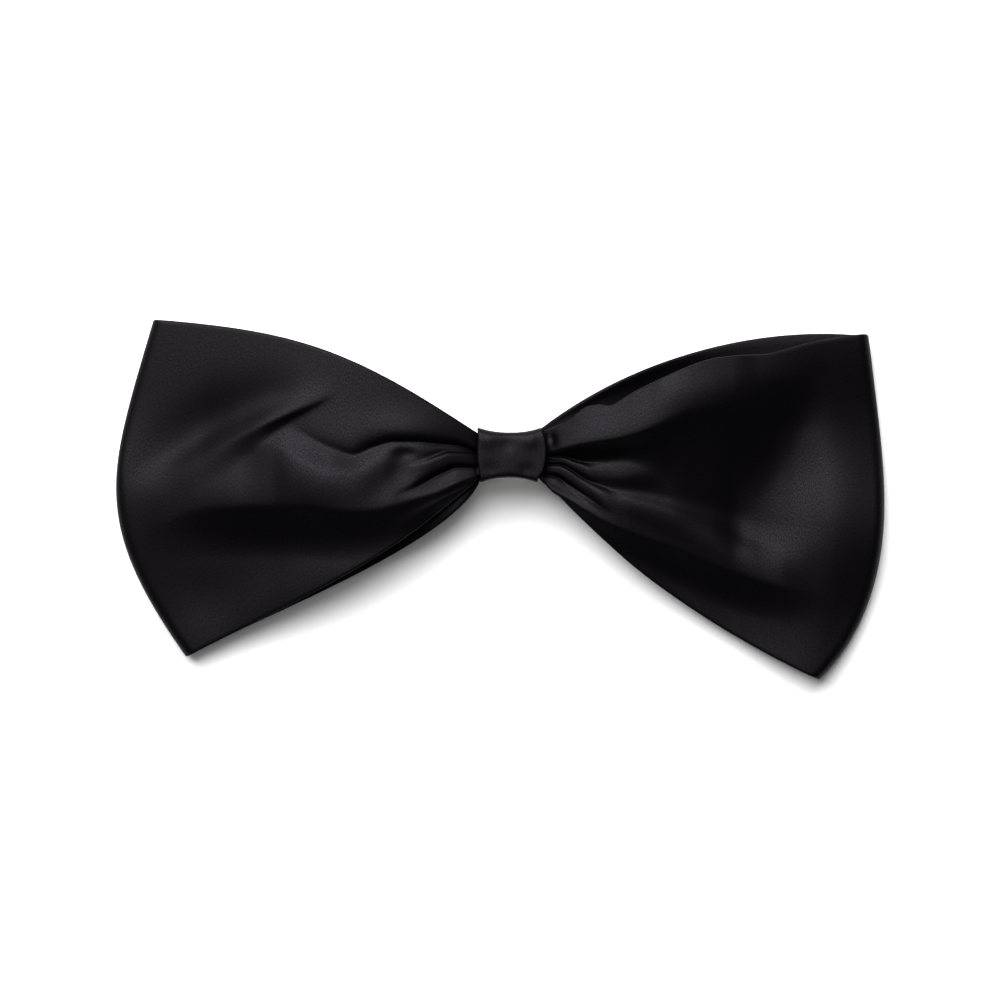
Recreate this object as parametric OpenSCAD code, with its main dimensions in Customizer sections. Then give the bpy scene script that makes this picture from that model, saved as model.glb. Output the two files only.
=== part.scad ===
// Pre-tied satin bow tie with a twin-jaw collar clip.
// It lies face up: X runs along the wings, Y across them, Z towards the viewer.
// The origin is the middle of the bow's outline, on the surface that it lies on.

/* [Bow] */
// Width of the bow from outer fold to outer fold
bow_w = 183.5; // [160:0.5:200]
// Height of the bow from the top edge to the lowest corner
bow_h = 87.5; // [78:0.5:94]
// How high the front of the wings bulges above the straight line from knot to fold
wing_rise = 9; // [5:0.5:12]
// Thickness of the pressed satin tube, both plies together
band_t = 1.1; // [1:0.05:1.3]

/* [Knot] */
// Width of the centre band
knot_w = 16.2; // [15:0.1:17]
// Height of the centre band at its waist
knot_waist_h = 10.2; // [9.8:0.1:11]
// Height of the centre band at its flared edges
knot_edge_h = 13; // [12.4:0.1:14]
// Depth of the centre band, front to back
knot_d = 10.6; // [10.4:0.1:11.4]

/* [Clip] */
// Length of the clip's base plate
plate_l = 44; // [42:0.5:50]
// Width of the clip's base plate
plate_w = 8.6; // [8.4:0.1:9]
// Distance from the clip's middle to each hinge pin
pivot_x = 12; // [11.5:0.1:13]
// Radius of the hinge pins
pin_r = 0.6; // [0.5:0.05:0.65]
// Turns in each torsion spring
spring_turns = 4; // [3:1:5]

/* [Hidden] */
LEFT = -1;
RIGHT = 1;
SIDES = [LEFT, RIGHT];

// Scale of the wings' outlines, which are drawn for a bow of 183.5 by 87.5
sx = bow_w / 183.5;
sy = bow_h / 87.5;
knot_x = 2.8;
knot_y = 10.7;
knot_z = 10.9;

// Edges of each wing as cubic curves, from the knot outwards or from the top corner down
left_top = [[-5.3, 16.4], [-34.5, 35.5], [-48, 40], [-82.6, 43.7]];
left_outer = [[-82.6, 43.7], [-92.9, 7.5], [-99, -5], [-74.5, -37.9]];
left_bottom = [[-5.3, 5], [-10, -10], [-60, -29], [-74.5, -37.9]];
right_top = [[10.9, 16.4], [31.5, 34.5], [61.5, 41.6], [88, 39.8]];
right_outer = [[88, 39.8], [91.4, 11.5], [99.2, -21.5], [75.8, -43.7]];
right_bottom = [[10.9, 5], [28.5, -16], [51.5, -31.5], [75.8, -43.7]];
// How far the front run's edge dips inside the back run's edge at mid-wing
left_dip = [0, 2.2];
right_dip = [4.2, 0];

// Heights of the band's middle surface
front_root_z = knot_z + 1.6;
back_root_z = [knot_z - 2.9, knot_z - 1.5];
fold_top_z = 5.4;
back_low_z = band_t / 2 + 0.05;
fold_bulge = 2.4;
fold_z = (fold_top_z + back_low_z) / 2;
pleats = 2;
root_pleat = 0.5;
end_tuck = 4.6;
cavity_t = band_t - 0.5;
lining_t = cavity_t - 0.2;
edge_thin = 0.55;

// The knot's section is a rounded oblong: 1 would be an ellipse
roundness = 0.62;

// Mesh steps across the band, and along each stretch of it
across = 16;
front_steps = 13;
back_steps = 8;
fold_steps = 4;
knot_steps = 4;

// Centre band
knot_ply = 0.65;
knot_lining_t = 0.35;
knot_gap = 0.06;
knot_around = 40;
knot_along = 8;
thread_r = 0.18;
thread_gap = 0.04;
bundle_gap = 0.2;
bundle_inset = knot_ply + knot_gap + knot_lining_t + thread_gap + 2 * thread_r;

// Clip heights, and the sizes of its pressed parts
plate_t = 0.6;
plate_z = 4.5;
plate_corner = 1.6;
pivot_z = 2.8;
ear_t = 0.7;
ear_l = 5;
pin_fit = 0.02;
lever_fit = 0.06;
lever_w = 6.4;
lever_t = 0.5;
lever_z = 0.7;
tab_l = 8;
jaw_l = 8;
lip_w = 7.4;
lip_top_z = 4.1;
lip_teeth = 6;
flange_l = 3.2;
flange_top_z = pivot_z + 0.95;
pad_t = 0.35;
pad_h = 1.1;
pad_clear = 0.15;
head_r = 0.95;
head_t = 0.35;
wire_r = 0.2;
coil_r = 1.12;
coil_pitch = 0.62;
spring_leg = 5;
hole_x = 2.2;
hole_y = 2.7;
hole_r = 0.65;
stitch_r = 0.17;
strands = 3;
round_fn = 40;

function mix(a, b, t) = a + (b - a) * t;
function smooth(t) = let (c = min(1, max(0, t))) c * c * (3 - 2 * c);
function scaled(p) = [p[0] * sx, p[1] * sy];
function cubic(c, t) =
    scaled(c[0] * pow(1 - t, 3) + 3 * c[1] * pow(1 - t, 2) * t
        + 3 * c[2] * (1 - t) * t * t + c[3] * pow(t, 3));
function unit(v) = v / max(norm(v), 1e-9);

// A point of a wing's plan: t from knot to fold, s from top edge to bottom edge
function wing_plan(side, t, s, dips) =
    let (
        up = side < 0 ? left_top : right_top,
        down = side < 0 ? left_bottom : right_bottom,
        out = side < 0 ? left_outer : right_outer,
        a = cubic(up, t) - [0, dips[0] * sin(180 * t)],
        b = cubic(down, t) + [0, dips[1] * sin(180 * t)],
        root = mix(scaled(up[0]), scaled(down[0]), s),
        fold = cubic(out, s)
    )
    mix(a, b, s) + mix(root, fold, t)
        - mix(mix(scaled(up[0]), scaled(down[0]), s), mix(scaled(up[3]), scaled(down[3]), s), t);

// The way out of a wing across its outer fold, at s
function fold_out(side, s) =
    let (
        out = side < 0 ? left_outer : right_outer,
        d = cubic(out, min(1, s + 0.02)) - cubic(out, max(0, s - 0.02))
    )
    side * unit([-d[1], d[0]]);

function front_z(t, s) =
    mix(front_root_z, fold_top_z, t)
        + wing_rise * sin(180 * pow(t, 0.8)) * (0.3 + 0.7 * sin(180 * s))
        + (root_pleat + 5 * t) * pow(1 - t, 2.5) * cos(360 * pleats * s);
function back_root(side) = back_root_z[side < 0 ? 0 : 1];
function back_z(side, t) = mix(back_root(side), back_low_z, smooth((t - 0.12) / 0.45));

// Half the height that the knot leaves for a layer of the band lying at height z
function bundle_half(x, z) =
    let (
        lift = min(0.98, (abs(z - knot_z) + band_t / 2 + bundle_gap) / (knot_d / 2 - bundle_inset)),
        share = pow(1 - pow(lift, 2 / roundness), roundness / 2)
    )
    (knot_half_h(x) - bundle_inset) * share;
// Pinches a wing's plan into the mouth of the knot
function pinched(p, side, t, z) =
    let (
        mouth = bundle_half(knot_x + side * knot_w / 2, z),
        root_half = scaled(left_top[0])[1] - scaled(left_bottom[0])[1],
        share = mix(mouth / (root_half / 2), 1, smooth(t / 0.15))
    )
    [p[0], knot_y + (p[1] - knot_y) * share, z];

// Stations along the band, each [kind, side, position]
BACK = 0;
FOLD = 1;
FRONT = 2;
CROSS = 3;
TUCK = 4;
stations = concat(
    [[TUCK, LEFT, 1], [TUCK, LEFT, 0.5]],
    [for (i = [0 : back_steps]) [BACK, LEFT, i / back_steps]],
    [for (i = [1 : fold_steps - 1]) [FOLD, LEFT, i / fold_steps]],
    [for (i = [front_steps : -1 : 0]) [FRONT, LEFT, i / front_steps]],
    [for (i = [1 : knot_steps - 1]) [CROSS, LEFT, i / knot_steps]],
    [for (i = [0 : front_steps]) [FRONT, RIGHT, i / front_steps]],
    [for (i = [fold_steps - 1 : -1 : 1]) [FOLD, RIGHT, i / fold_steps]],
    [for (i = [back_steps : -1 : 0]) [BACK, RIGHT, i / back_steps]],
    [[TUCK, RIGHT, 0.5], [TUCK, RIGHT, 1]]
);

function on_front(side, t, s) =
    let (p = pinched(wing_plan(side, t, s, side < 0 ? left_dip : right_dip), side, t, front_root_z))
    [p[0], p[1], front_z(t, s)];
function on_back(side, t, s) =
    let (p = pinched(wing_plan(side, t, s, [0, 0]), side, t, back_root(side)))
    [p[0], p[1], back_z(side, t)];
function on_fold(side, a, s) =
    let (p = wing_plan(side, 1, s, [0, 0]), o = fold_out(side, s) * fold_bulge * sin(180 * a))
    [p[0] + o[0], p[1] + o[1], fold_z - (fold_top_z - back_low_z) / 2 * cos(180 * a)];
function in_knot(x, s, z, fold_h) = [x, knot_y + (1 - 2 * s) * bundle_half(x, z), z + fold_h];
function band_point(st, s) =
    st[0] == BACK ? on_back(st[1], st[2], s)
    : st[0] == FOLD ? on_fold(st[1], st[2], s)
    : st[0] == FRONT ? on_front(st[1], st[2], s)
    : st[0] == CROSS ? in_knot(knot_x + (st[2] - 0.5) * knot_w * 0.9, s,
        front_root_z, root_pleat * cos(360 * pleats * s))
    : in_knot(knot_x + st[1] * mix(knot_w / 2, -end_tuck, st[2]), s, back_root(st[1]), 0);

// The outer silhouette belongs to the fold's crown, so the wings end a bulge inside it
function inset_plan(p, side, s, reach) =
    let (o = fold_out(side, s) * (fold_bulge + band_t / 2) * reach) [p[0] - o[0], p[1] - o[1], p[2]];
function reach_of(st) = st[0] == FOLD ? 1 : st[0] >= CROSS ? 0 : pow(st[2], 2);
band_grid = [
    for (st = stations) [
        for (j = [0 : across])
            inset_plan(band_point(st, j / across), st[1], j / across, reach_of(st))
    ]
];

function grid_normal(g, i, j) =
    let (
        a = g[max(0, i - 1)][j],
        b = g[min(len(g) - 1, i + 1)][j],
        c = g[i][max(0, j - 1)],
        d = g[i][min(len(g[0]) - 1, j + 1)]
    )
    unit(cross(b - a, d - c));
normals = [for (i = [0 : len(band_grid) - 1]) [for (j = [0 : across]) grid_normal(band_grid, i, j)]];

// A ring round the band at station i: one side out, the other side back, thinner at the edges
function edge_share(j) = (j == 0 || j == across) ? edge_thin : 1;
function slab_ring(i, half, margin) =
    concat(
        [for (j = [0 : across]) slab_point(i, j, half * edge_share(j), margin)],
        [for (j = [across : -1 : 0]) slab_point(i, j, -half * edge_share(j), margin)]
    );
function slab_point(i, j, h, margin) =
    let (
        row = band_grid[i],
        inward = j == 0 ? unit(row[1] - row[0]) : j == across ? unit(row[across - 1] - row[across]) : [0, 0, 0]
    )
    row[j] + inward * margin + normals[i][j] * h;
ring_n = 2 * (across + 1);
function tube_faces(n, m, flip) = [
    for (i = [0 : n - 2]) for (j = [0 : m - 1])
        let (a = i * m + j, b = i * m + (j + 1) % m, c = (i + 1) * m + (j + 1) % m, d = (i + 1) * m + j)
        for (tri = [[a, b, c], [a, c, d]]) flip ? [tri[2], tri[1], tri[0]] : tri
];
function shifted(faces, k) = [for (f = faces) [for (v = f) v + k]];
// Flat closing face of a slab ring, as a ladder between its two sides
function cap_faces(start, flip) = [
    for (j = [0 : across - 1])
        let (a = start + j, b = start + j + 1, c = start + ring_n - 2 - j, d = start + ring_n - 1 - j)
        for (tri = [[a, d, b], [b, d, c]]) flip ? [tri[2], tri[1], tri[0]] : tri
];
// Closing faces between an outer ring and the cavity's ring
function rim_faces(a0, b0, flip) = [
    for (j = [0 : ring_n - 1])
        let (k = (j + 1) % ring_n)
        for (tri = [[a0 + j, b0 + j, a0 + k], [a0 + k, b0 + j, b0 + k]])
            flip ? [tri[2], tri[1], tri[0]] : tri
];

module bow_band() {
    n = len(stations);
    outer = [for (i = [0 : n - 1]) each slab_ring(i, band_t / 2, 0)];
    inner = [for (i = [0 : n - 1]) each slab_ring(i, cavity_t / 2, 0.4)];
    last = (n - 1) * ring_n;
    color([0.035, 0.032, 0.038])
        polyhedron(
            points = concat(outer, inner),
            faces = concat(
                tube_faces(n, ring_n, true),
                shifted(tube_faces(n, ring_n, false), n * ring_n),
                rim_faces(0, n * ring_n, true),
                rim_faces(last, n * ring_n + last, false)
            ),
            convexity = 10
        );
}

module band_interlining() {
    first = 2;
    n = len(stations) - 2 * first;
    color([0.3, 0.3, 0.3])
        polyhedron(
            points = [for (i = [0 : n - 1]) each slab_ring(i + first, lining_t / 2, 0.7)],
            faces = concat(
                tube_faces(n, ring_n, true),
                cap_faces(0, false),
                cap_faces((n - 1) * ring_n, true)
            ),
            convexity = 10
        );
}

// Section of the centre band at x, drawn in by inset: flatter at the back, rounder in front
function knot_half_h(x) = mix(knot_waist_h, knot_edge_h, pow(abs(x - knot_x) / (knot_w / 2), 2)) / 2;
function oblong(a, h, d) =
    [
        h * sign(cos(a)) * pow(abs(cos(a)), roundness),
        d * sign(sin(a)) * pow(abs(sin(a)), roundness)
    ];
function knot_ring(x, inset) = [
    for (k = [0 : knot_around - 1])
        let (p = oblong(360 * k / knot_around, knot_half_h(x) - inset, knot_d / 2 - inset))
        [x, knot_y + p[0], knot_z + p[1]]
];

// A sleeve round the bundle between two insets, over the given length
module sleeve(length, from, to) {
    n = knot_along + 1;
    xs = [for (i = [0 : knot_along]) knot_x + (i / knot_along - 0.5) * length];
    last = (n - 1) * knot_around;
    rim = [
        for (end = [[0, false], [last, true]]) for (k = [0 : knot_around - 1])
            let (
                a = end[0] + k,
                b = end[0] + (k + 1) % knot_around,
                c = a + n * knot_around,
                d = b + n * knot_around
            )
            for (tri = [[a, b, c], [b, d, c]]) end[1] ? [tri[2], tri[1], tri[0]] : tri
    ];
    polyhedron(
        points = concat([for (x = xs) each knot_ring(x, from)], [for (x = xs) each knot_ring(x, to)]),
        faces = concat(
            tube_faces(n, knot_around, true),
            shifted(tube_faces(n, knot_around, false), n * knot_around),
            rim
        ),
        convexity = 6
    );
}

module knot_band() {
    color([0.04, 0.037, 0.043]) sleeve(knot_w, 0, knot_ply);
}

module knot_interlining() {
    from = knot_ply + knot_gap;
    color([0.3, 0.3, 0.3]) sleeve(knot_w - 1.6, from, from + knot_lining_t);
}

// A round wire along points, each with its own outward direction
module wire(points, outs, r, sides = 8) {
    n = len(points);
    rings = [
        for (i = [0 : n - 1])
            let (
                t = unit(points[min(n - 1, i + 1)] - points[max(0, i - 1)]),
                o = unit(outs[i] - t * (outs[i] * t)),
                b = cross(t, o)
            )
            for (k = [0 : sides - 1]) points[i] + r * (cos(360 * k / sides) * o + sin(360 * k / sides) * b)
    ];
    polyhedron(
        points = rings,
        faces = concat(
            tube_faces(n, sides, true),
            [[for (k = [0 : sides - 1]) k], [for (k = [sides - 1 : -1 : 0]) (n - 1) * sides + k]]
        ),
        convexity = 10
    );
}

module gather_thread() {
    turns = 3;
    per_turn = 24;
    inset = bundle_inset - thread_r;
    angles = [for (i = [0 : turns * per_turn]) 360 * i / per_turn];
    ring = [
        for (a = angles)
            let (p = oblong(a, knot_waist_h / 2 - inset, knot_d / 2 - inset))
            [knot_x + (a / 360 - turns / 2) * 0.5, knot_y + p[0], knot_z + p[1]]
    ];
    outs = [for (p = ring) [0, p[1] - knot_y, p[2] - knot_z]];
    color([0.05, 0.05, 0.05]) wire(ring, outs, thread_r, 6);
}

// Slip stitches that close the centre band's lapped end at the back
module knot_stitches() {
    color([0.05, 0.05, 0.05])
        for (i = [-2 : 2])
            translate([knot_x + i * 1.8, knot_y, knot_z - knot_d / 2 - stitch_r - 0.03])
                rotate([90, 0, 0])
                    cylinder(r = stitch_r, h = 1.2, center = true, $fn = 16);
}

module in_clip(side) {
    translate([knot_x, knot_y, 0]) mirror([side < 0 ? 1 : 0, 0, 0]) children();
}

module rounded_bar(l, w, r, h) {
    linear_extrude(h) {
        square([l - 2 * r, w], center = true);
        square([l, w - 2 * r], center = true);
        for (x = [-1, 1], y = [-1, 1])
            translate([x * (l / 2 - r), y * (w / 2 - r)]) circle(r = r, $fn = round_fn);
    }
}

module cross_hole(r, w) {
    rotate([90, 0, 0]) cylinder(r = r, h = w, center = true, $fn = round_fn);
}

module clip_base() {
    color([0.78, 0.78, 0.8])
        translate([knot_x, knot_y, 0])
            difference() {
                union() {
                    translate([0, 0, plate_z]) rounded_bar(plate_l, plate_w, plate_corner, plate_t);
                    for (side = SIDES, y = [-1, 1])
                        translate([
                            side * pivot_x - ear_l / 2,
                            y * (plate_w - ear_t) / 2 - ear_t / 2,
                            0
                        ])
                            cube([ear_l, ear_t, plate_z + plate_t / 2]);
                }
                for (side = SIDES)
                    translate([side * pivot_x, 0, pivot_z]) cross_hole(pin_r + pin_fit, plate_w + 2);
                for (x = [-1, 1], y = [-1, 1])
                    translate([x * hole_x, y * hole_y, plate_z - 1])
                        cylinder(r = hole_r, h = plate_t + 2, $fn = round_fn);
            }
}

// A lever in its own frame: the jaw's lip is at +X and the thumb tab at -X of the pin
module lever_shape() {
    difference() {
        union() {
            translate([-tab_l, -lever_w / 2, lever_z]) cube([tab_l + jaw_l, lever_w, lever_t]);
            translate([-tab_l, 0, lever_z + lever_t / 2]) cross_hole(lever_t * 0.9, lever_w);
            for (y = [-1, 1])
                translate([-flange_l / 2, y * (lever_w - lever_t) / 2 - lever_t / 2, lever_z])
                    cube([flange_l, lever_t, flange_top_z - lever_z]);
            translate([jaw_l - lever_t, -lip_w / 2, lever_z]) cube([lever_t, lip_w, lip_top_z - lever_z]);
        }
        translate([0, 0, pivot_z]) cross_hole(pin_r + lever_fit, lever_w + 2);
        for (k = [0 : lip_teeth - 1])
            translate([jaw_l - lever_t / 2, (k - (lip_teeth - 1) / 2) * lip_w / lip_teeth, lip_top_z])
                rotate([0, 45, 90]) cube([0.45, 2, 0.45], center = true);
    }
}

module lever(side) {
    color([0.78, 0.78, 0.8]) in_clip(side) translate([pivot_x, 0, 0]) lever_shape();
}

// Soft cap that straddles the jaw's lip and bears on the collar
module grip_pad(side) {
    outer_l = lever_t + 2 * pad_t + 2 * 0.03;
    top = plate_z - pad_clear;
    color([0.1, 0.1, 0.1])
        in_clip(side)
            translate([pivot_x + jaw_l - lever_t / 2, 0, 0])
                difference() {
                    translate([-outer_l / 2, -lip_w / 2, top - pad_h]) cube([outer_l, lip_w, pad_h]);
                    translate([-lever_t / 2 - 0.03, -lip_w / 2 - 1, top - pad_h - 1])
                        cube([lever_t + 0.06, lip_w + 2, lip_top_z + 0.03 - (top - pad_h - 1)]);
                }
}

module pivot_pin(side) {
    color([0.7, 0.7, 0.72])
        in_clip(side)
            translate([pivot_x, 0, pivot_z]) {
                cross_hole(pin_r, plate_w + 2 * head_t);
                for (y = [-1, 1])
                    translate([0, y * (plate_w + head_t) / 2, 0]) cross_hole(head_r, head_t);
            }
}

// Torsion spring round the pin: one leg bears on the base plate, the other on the lever
module torsion_spring(side) {
    per_turn = 16;
    sweep = 360 * spring_turns + 180;
    n = per_turn * (spring_turns + 0.5);
    half_len = coil_pitch * sweep / 360 / 2;
    plate_reach = plate_z - pivot_z - wire_r - 0.03;
    lever_reach = pivot_z - lever_z - lever_t - wire_r - 0.03;
    coil = [
        for (i = [0 : n])
            let (a = 90 - sweep * i / n)
            [coil_r * cos(a), mix(-half_len, half_len, i / n), coil_r * sin(a)]
    ];
    path = concat(
        [[-spring_leg, -half_len, plate_reach], [-spring_leg * 0.6, -half_len, mix(coil_r, plate_reach, 0.6)]],
        coil,
        [[-spring_leg * 0.6, half_len, -mix(coil_r, lever_reach, 0.6)], [-spring_leg, half_len, -lever_reach]]
    );
    outs = concat(
        [[0, 0, 1], [0, 0, 1]],
        [for (p = coil) [p[0], 0, p[2]]],
        [[0, 0, -1], [0, 0, -1]]
    );
    color([0.6, 0.6, 0.62])
        in_clip(side) translate([pivot_x, 0, pivot_z]) wire(path, outs, wire_r);
}

// Thread staples that sew the base plate to the back of the knot
module clip_stitches(side) {
    color([0.05, 0.05, 0.05])
        in_clip(side)
            for (k = [0 : strands - 1])
                translate([hole_x + (k - (strands - 1) / 2) * 2.1 * stitch_r, 0, 0]) {
                    translate([0, 0, plate_z - stitch_r - 0.03])
                        cross_hole(stitch_r, 2 * hole_y + 2 * stitch_r);
                    for (y = [-1, 1])
                        translate([0, y * hole_y, plate_z - stitch_r - 0.03])
                            cylinder(r = stitch_r, h = knot_z - knot_d / 2 - plate_z + stitch_r - 0.05, $fn = 16);
                }
}

bow_band();
band_interlining();
gather_thread();
knot_band();
knot_interlining();
knot_stitches();
clip_base();
clip_stitches(LEFT);  // left_clip_stitches
clip_stitches(RIGHT);  // right_clip_stitches
lever(LEFT);  // left_lever
grip_pad(LEFT);  // left_grip_pad
pivot_pin(LEFT);  // left_pivot_pin
torsion_spring(LEFT);  // left_spring
lever(RIGHT);  // right_lever
grip_pad(RIGHT);  // right_grip_pad
pivot_pin(RIGHT);  // right_pivot_pin
torsion_spring(RIGHT);  // right_spring
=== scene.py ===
"""A black satin bow tie, lying face up on a white table, with a sprung collar clip behind.

Lengths are in millimetres while shapes are worked out, and in metres once they are meshes.
X runs along the wings, Y across them, and Z towards the viewer. On a wing, s runs from its top
edge (0) to its bottom edge (1), and t from the knot (0) to its outer fold (1).
"""

import math

import bpy
import numpy as np
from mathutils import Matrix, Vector


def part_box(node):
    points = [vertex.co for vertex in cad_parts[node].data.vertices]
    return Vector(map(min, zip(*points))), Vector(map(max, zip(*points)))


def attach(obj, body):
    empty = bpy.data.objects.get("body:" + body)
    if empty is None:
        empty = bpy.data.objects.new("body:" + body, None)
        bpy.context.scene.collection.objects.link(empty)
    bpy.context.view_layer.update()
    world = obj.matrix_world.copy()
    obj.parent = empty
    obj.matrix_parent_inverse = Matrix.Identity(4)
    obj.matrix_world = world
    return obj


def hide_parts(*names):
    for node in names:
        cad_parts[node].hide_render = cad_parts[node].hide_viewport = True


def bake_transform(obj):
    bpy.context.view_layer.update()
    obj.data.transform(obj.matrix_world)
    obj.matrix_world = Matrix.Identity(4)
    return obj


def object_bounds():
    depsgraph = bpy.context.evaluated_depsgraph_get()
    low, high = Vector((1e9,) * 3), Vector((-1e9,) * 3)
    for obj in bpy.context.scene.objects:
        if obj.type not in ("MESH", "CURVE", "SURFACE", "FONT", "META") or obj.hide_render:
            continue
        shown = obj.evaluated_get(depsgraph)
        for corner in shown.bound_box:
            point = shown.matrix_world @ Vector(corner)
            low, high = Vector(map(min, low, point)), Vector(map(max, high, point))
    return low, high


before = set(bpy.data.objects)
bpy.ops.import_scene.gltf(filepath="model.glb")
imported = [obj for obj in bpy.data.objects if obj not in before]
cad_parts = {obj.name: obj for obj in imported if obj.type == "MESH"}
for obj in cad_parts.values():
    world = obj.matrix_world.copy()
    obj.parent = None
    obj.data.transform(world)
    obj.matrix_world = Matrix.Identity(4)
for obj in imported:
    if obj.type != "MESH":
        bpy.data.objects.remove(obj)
cad_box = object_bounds()

MM = 0.001
LEFT, RIGHT = -1, 1


def node_box(name):
    """A CAD node's lowest and highest corners, in millimetres."""
    low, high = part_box(name)
    return np.array(low) / MM, np.array(high) / MM


# ---------------------------------------------------------------- sizes, from the frame
knot_low, knot_high = node_box("knot_band")
KNOT = (knot_low + knot_high) / 2
KNOT_D = knot_high[2] - knot_low[2]

# ---------------------------------------------------------------- the band's shape
CLOTH_T = 1.0          # the satin tube, both plies and lining
EDGE_R = CLOTH_T / 2   # its long edges are rounded by half of that
LOOP_REACH = 2.4       # how far the outer folds bulge past the ends of the layers
# Height of the front layer at the knot and at the outer fold, and how far it domes between them
FRONT_ROOT_Z = KNOT[2] + 1.9
FRONT_FOLD_Z = {LEFT: 5.8, RIGHT: 7.6}
RISE = {LEFT: 6.0, RIGHT: 5.8}
RISE_SKEW = 0.8        # below 1, the dome is highest nearer the knot
LOW_EDGE = {LEFT: 0.95, RIGHT: 0.7}   # share of the dome's height left at the bottom edge
LOW_FROM, LOW_OVER = 0.35, 0.75       # where, in s, it starts to fall to that, and over how much
EDGE_FALL = 0.1        # share of it lost at both long edges
LOWEST = 3.4           # the front layer rests on the rear one at this height
FOLD_FADE = 6          # power of t that fades the folds out at the outer fold
# Height of the rear layer at the knot and on the table, and where, in t, it comes down
BACK_ROOT_Z = {LEFT: KNOT[2] - 2.7, RIGHT: KNOT[2] - 1.4}
BACK_LOW_Z = 1.1
FALL_FROM, FALL_OVER = 0.1, 0.45
BACK_LIFT = {LEFT: 3.4, RIGHT: 2.6}   # how far the rear layer's showing edge stands off the table
LIFT_FROM, LIFT_OVER, LIFT_SKEW = 0.4, 0.6, 0.7
GATHER_H, GATHER_END = 2.7, 0.85      # height of its gathers, and the t where they end

# Outlines of the layers as cubic curves, from the knot outwards or from the top corner down
OUTER = {
    LEFT: [(-82.8, 43.7), (-93.9, 6.9), (-98.6, -4.9), (-74.9, -37.9)],
    RIGHT: [(88.1, 39.8), (91.6, 11.3), (98.8, -21.3), (75.8, -43.7)],
}
TOP = {
    ("front", LEFT): [(-5.3, 16.0), (-34.8, 35.4), (-47.7, 40.1), (-82.8, 43.7)],
    ("back", LEFT): [(-5.3, 15.6), (-34.8, 33.9), (-48.0, 39.0), (-82.8, 43.7)],
    ("front", RIGHT): [(10.8, 16.6), (37.7, 30.5), (56.9, 36.1), (88.1, 39.8)],
    ("back", RIGHT): [(10.1, 17.3), (31.4, 34.3), (61.4, 41.6), (88.1, 39.8)],
}
BOTTOM = {
    ("front", LEFT): [(-5.6, 4.4), (-24.2, -13.7), (-51.8, -25.5), (-74.9, -37.9)],
    ("back", LEFT): [(-5.0, 4.6), (-9.8, -10.0), (-60.1, -29.0), (-74.9, -37.9)],
    ("front", RIGHT): [(10.4, 4.4), (28.4, -15.9), (51.6, -31.4), (75.8, -43.7)],
    ("back", RIGHT): [(10.4, 5.2), (28.0, -14.2), (51.2, -30.2), (75.8, -43.7)],
}

# How far a front layer's top edge strays from its outline, as (x, y offset)
WAVES = {
    LEFT: [(-80, 0.0), (-5, 0.0)],
    RIGHT: [(10, 0.0), (16, -0.3), (20, 0.9), (23, 0.2), (26.5, -1.4), (31, -0.6), (38, 0.1),
            (49, 0.9), (56, 0.1), (64, -1.2), (75, -0.3), (88, 0.0)],
}

# How far the outer folds swell above and below their mean height, as (y, z offset)
SWELL = {
    LEFT: [(-38, 0.4), (-26, -0.2), (0, 0.4), (20, -0.4), (44, 0.4)],
    RIGHT: [(-44, 0.4), (-28, -0.9), (-6, 1.8), (19, -2.0), (40, 1.0)],
}

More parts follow.
